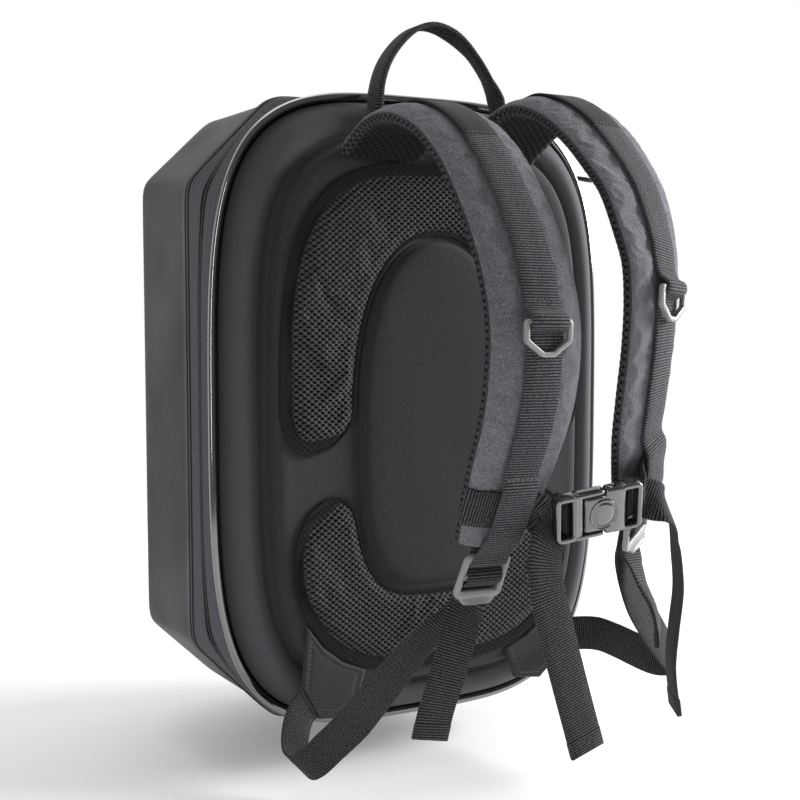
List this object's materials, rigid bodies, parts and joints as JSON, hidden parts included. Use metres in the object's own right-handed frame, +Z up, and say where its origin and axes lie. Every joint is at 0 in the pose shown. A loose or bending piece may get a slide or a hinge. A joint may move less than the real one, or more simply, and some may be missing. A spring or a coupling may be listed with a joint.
{
  "type": "hard shell backpack",
  "caption": "Backpack with a bevelled hard front shell, a zipped case, a moulded padded back, arched shoulder straps, a chest strap with a buckle and a carry handle.",
  "frame": {"origin": "underside of the carry handle at its peak, where a hook or a hand holds the backpack", "axes": "+Z up along the case, +Y from the wearer's back towards the hard shell's front, +X to the wearer's right"},
  "size_m": [0.3, 0.3859, 0.4766],
  "materials": {
    "shell": "satin moulded grey",
    "tape": "ribbed woven tape",
    "coil": "satin nylon",
    "piping": "glossy black",
    "moulded": "fine woven cloth moulded over foam",
    "mesh": "open spacer mesh",
    "strap": "plain weave over foam",
    "webbing": "ribbed webbing",
    "ring": "satin grey",
    "lock": "satin mid grey",
    "buckle": "satin dark grey"
  },
  "bodies": {
    "pack": {"front_shell": "shell", "zip_tape_front": "tape", "zip_coil": "coil", "zip_tape_rear": "tape", "piping": "piping", "back_panel": "moulded", "center_pad": "moulded", "upper_mesh_pad": "mesh", "lower_mesh_pad": "mesh", "carry_handle": "webbing", "shoulder_strap_left": "strap", "shoulder_strap_right": "strap", "strap_lining_left": "mesh", "strap_lining_right": "mesh", "strap_webbing_left": "webbing", "strap_webbing_right": "webbing", "ladder_lock_left": "lock", "ladder_lock_right": "lock", "lower_webbing_left": "webbing", "lower_webbing_right": "webbing", "anchor_tab_left": "moulded", "anchor_tab_right": "moulded", "chest_webbing_left": "webbing", "chest_webbing_right": "webbing", "buckle_socket": "buckle", "buckle_plug": "buckle", "zip_slider": "coil"},
    "ring_left": {"d_ring_left": "ring"},
    "ring_right": {"d_ring_right": "ring"}
  },
  "joints": [
    {"name": "ring_left_swing", "type": "hinge", "parent": "pack", "child": "ring_left", "pos_m": [-0.03698, -0.18567, -0.18422], "axis": [-0.9999, 0.0019, 0.0126], "range_deg": [0, 120]},
    {"name": "ring_right_swing", "type": "hinge", "parent": "pack", "child": "ring_right", "pos_m": [0.04897, -0.18113, -0.16661], "axis": [-0.9004, -0.4277, 0.0789], "range_deg": [0, 120]}
  ]
}
